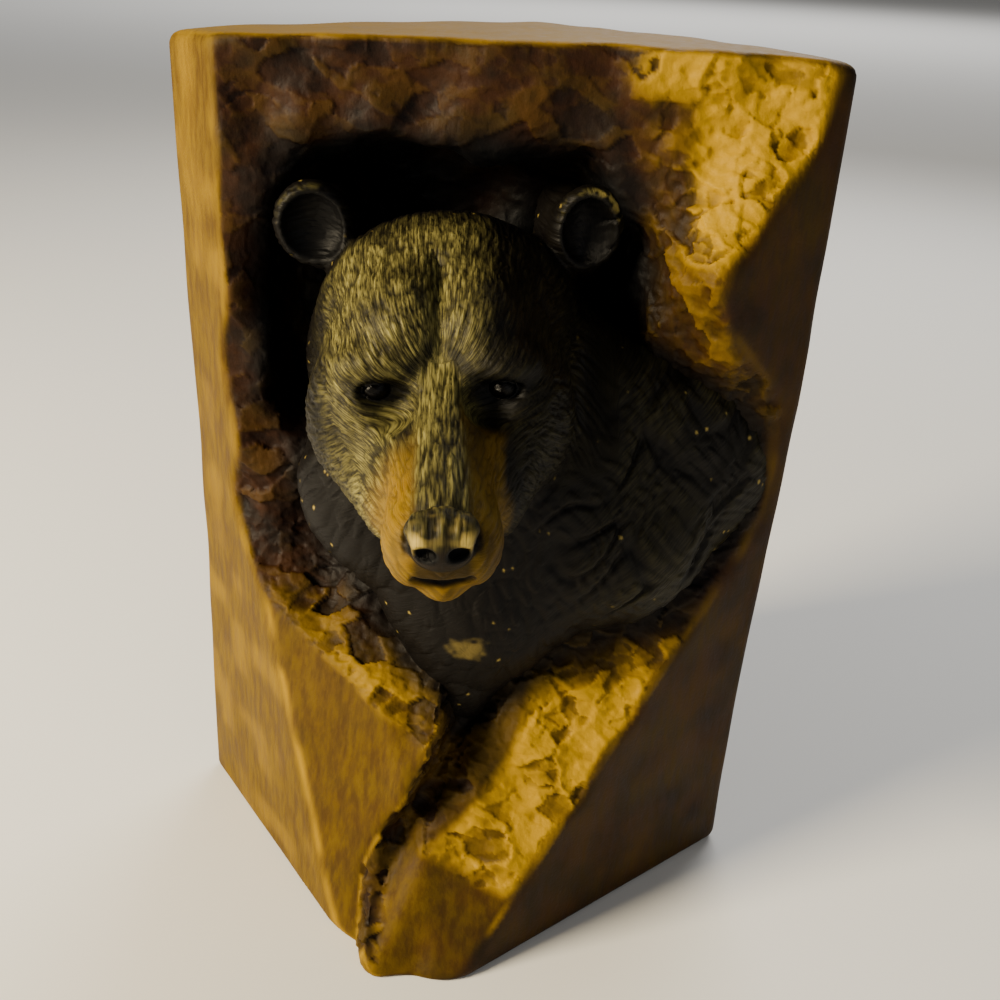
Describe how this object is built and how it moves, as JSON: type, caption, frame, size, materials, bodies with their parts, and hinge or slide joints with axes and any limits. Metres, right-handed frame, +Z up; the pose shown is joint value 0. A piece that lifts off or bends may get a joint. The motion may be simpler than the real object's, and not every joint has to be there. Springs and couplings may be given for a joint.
{
  "type": "bear figurine",
  "caption": "Cast resin figurine: a black bear's head and shoulder coming out of a niche in a broken square rock column.",
  "frame": {"origin": "middle of the bounding box at the underside", "axes": "+Z up, -Y the way the bear looks, +X to the right of someone who faces the bear"},
  "size_m": [0.1089, 0.1216, 0.1514],
  "materials": {
    "painted_resin": "cast resin, hand painted in black, brown and ochre, satin"
  },
  "bodies": {
    "root": {"bear_in_rock": "painted_resin"}
  },
  "joints": []
}
